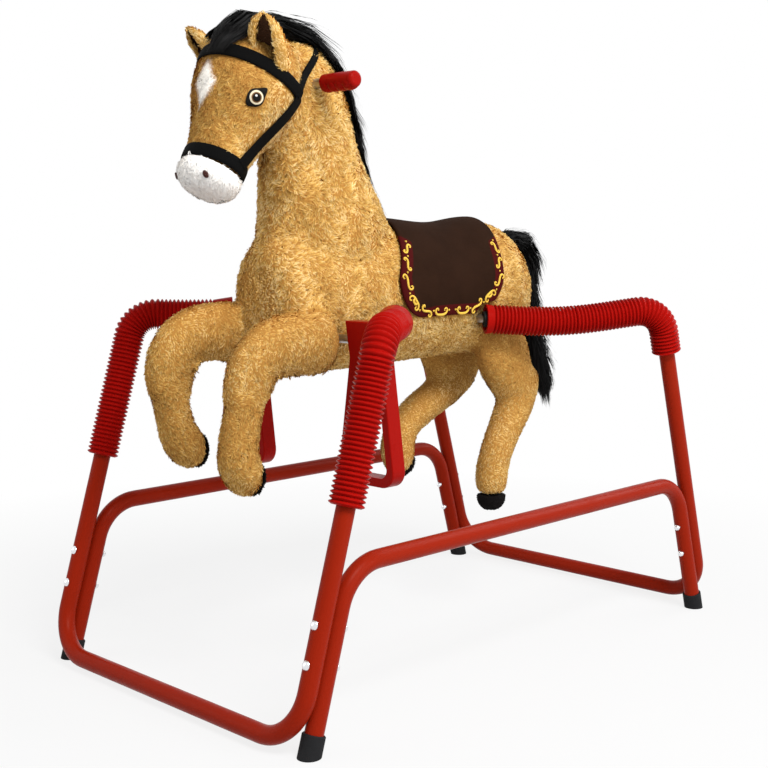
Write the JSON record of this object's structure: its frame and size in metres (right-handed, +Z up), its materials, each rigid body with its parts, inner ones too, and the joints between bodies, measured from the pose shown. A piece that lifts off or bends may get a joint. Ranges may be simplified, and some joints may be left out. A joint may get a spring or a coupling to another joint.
{
  "type": "spring horse",
  "caption": "Plush riding horse hung on coil springs in ribbed covers, in a stand of bent steel tube, with stirrups, hand grips and a cloth saddle.",
  "frame": {"origin": "middle of the stand on the floor", "axes": "+Z up, the horse faces -Y, its left side is +X"},
  "size_m": [0.652, 1.0754, 1.0512],
  "materials": {
    "frame_paint": "gloss enamel",
    "foot_rubber": "matte",
    "bolt_chrome": "polished",
    "spring_steel": "drawn wire",
    "cover_red": "gloss",
    "bar_steel": "zinc plated",
    "black_plastic": "matte",
    "stirrup_red": "gloss",
    "board_wood": "plain",
    "plush_tan": "curly pile",
    "plush_white": "short pile",
    "hoof_black": "short pile",
    "hair_black": "long hair",
    "saddle_cloth": "smooth cloth",
    "strap_black": "woven strap",
    "eye_thread": "embroidered"
  },
  "bodies": {
    "stand": {"front_end_frame": "frame_paint", "rear_end_frame": "frame_paint", "left_side_rail": "frame_paint", "right_side_rail": "frame_paint", "front_left_foot": "foot_rubber", "front_right_foot": "foot_rubber", "rear_left_foot": "foot_rubber", "rear_right_foot": "foot_rubber", "frame_bolts": "bolt_chrome", "frame_dome_nuts": "bolt_chrome", "front_left_spring_hook": "spring_steel", "front_right_spring_hook": "spring_steel", "rear_left_spring_hook": "spring_steel", "rear_right_spring_hook": "spring_steel", "front_left_spring": "spring_steel", "front_right_spring": "spring_steel", "rear_left_spring": "spring_steel", "rear_right_spring": "spring_steel", "front_left_spring_cover": "cover_red", "front_right_spring_cover": "cover_red", "rear_left_spring_cover": "cover_red", "rear_right_spring_cover": "cover_red"},
    "front_bar": {"front_spring_bar": "bar_steel", "front_spring_blocks": "black_plastic"},
    "horse": {"rear_spring_bar": "bar_steel", "stirrup_bar": "bar_steel", "handle_rod": "bar_steel", "rear_spring_blocks": "black_plastic", "stirrup_bar_caps": "black_plastic", "left_hand_grip": "stirrup_red", "right_hand_grip": "stirrup_red", "spine_board": "board_wood", "neck_post": "board_wood", "front_bar_bracket": "board_wood", "rear_bar_bracket": "board_wood", "stirrup_bar_bracket": "board_wood", "body": "plush_tan", "neck": "plush_tan", "head": "plush_tan", "left_ear": "plush_tan", "right_ear": "plush_tan", "front_left_leg": "plush_tan", "front_right_leg": "plush_tan", "hind_left_leg": "plush_tan", "hind_right_leg": "plush_tan", "muzzle": "plush_white", "front_left_sole": "hoof_black", "front_right_sole": "hoof_black", "hind_left_sole": "hoof_black", "hind_right_sole": "hoof_black", "mane": "hair_black", "tail": "hair_black", "saddle": "saddle_cloth", "nose_band": "strap_black", "cheek_straps": "strap_black", "brow_band": "strap_black", "crown_strap": "strap_black", "eyes": "eye_thread"},
    "left_stirrup": {"left_stirrup": "stirrup_red"},
    "right_stirrup": {"right_stirrup": "stirrup_red"}
  },
  "joints": [
    {"name": "bounce", "type": "slide", "parent": "stand", "child": "front_bar", "axis": [0, 0, 1], "range_m": [-0.06, 0.03], "stiffness_N_per_m": 3500, "springref_m": 0.028, "deforming": ["front_left_spring", "front_left_spring_cover", "front_right_spring", "front_right_spring_cover", "rear_left_spring", "rear_left_spring_cover", "rear_right_spring", "rear_right_spring_cover"]},
    {"name": "rock", "type": "hinge", "parent": "front_bar", "child": "horse", "pos_m": [0, -0.112, 0.565], "axis": [1, 0, 0], "range_deg": [-8, 8], "stiffness_Nm_per_rad": 220, "springref_deg": 0.3},
    {"name": "left_stirrup_swing", "type": "hinge", "parent": "horse", "child": "left_stirrup", "pos_m": [0.152, -0.23, 0.548], "axis": [1, 0, 0], "range_deg": [-25, 25]},
    {"name": "right_stirrup_swing", "type": "hinge", "parent": "horse", "child": "right_stirrup", "pos_m": [-0.152, -0.23, 0.548], "axis": [1, 0, 0], "range_deg": [-25, 25]}
  ]
}
